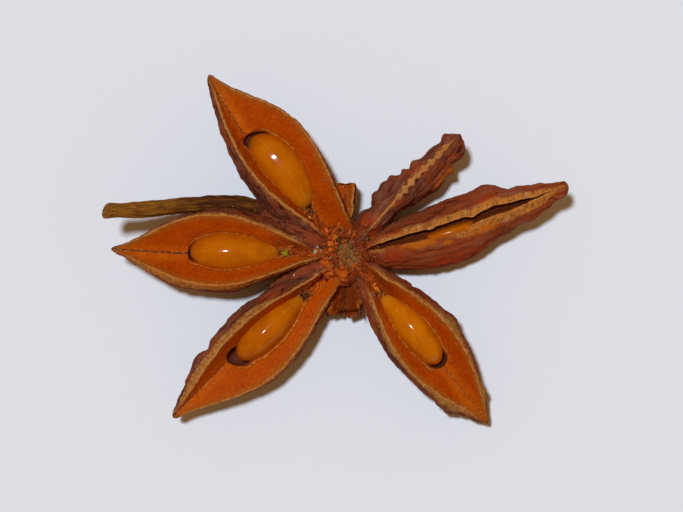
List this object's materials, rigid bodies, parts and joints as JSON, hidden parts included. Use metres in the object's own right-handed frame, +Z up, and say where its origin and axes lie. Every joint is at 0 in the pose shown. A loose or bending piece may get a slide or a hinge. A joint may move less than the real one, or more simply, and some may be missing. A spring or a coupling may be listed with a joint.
{
  "type": "star anise pod",
  "caption": "Dried star anise: woody boat-shaped follicles round a core, most split open over a glossy seed, with a bent stalk beneath.",
  "frame": {"origin": "on the floor under the middle of the pod's bounding box", "axes": "+X along the longest way across the star, towards the slit follicle and away from the stalk's end; +Z up, out of the open follicles"},
  "size_m": [0.0404, 0.0308, 0.0099],
  "materials": {
    "husk": "dried woody husk, waxy inside, dull and wrinkled outside",
    "seed": "polished seed coat"
  },
  "bodies": {
    "root": {"pod": "husk", "seed_a": "seed", "seed_b": "seed", "seed_c": "seed", "seed_d": "seed", "seed_e": "seed"}
  },
  "joints": []
}
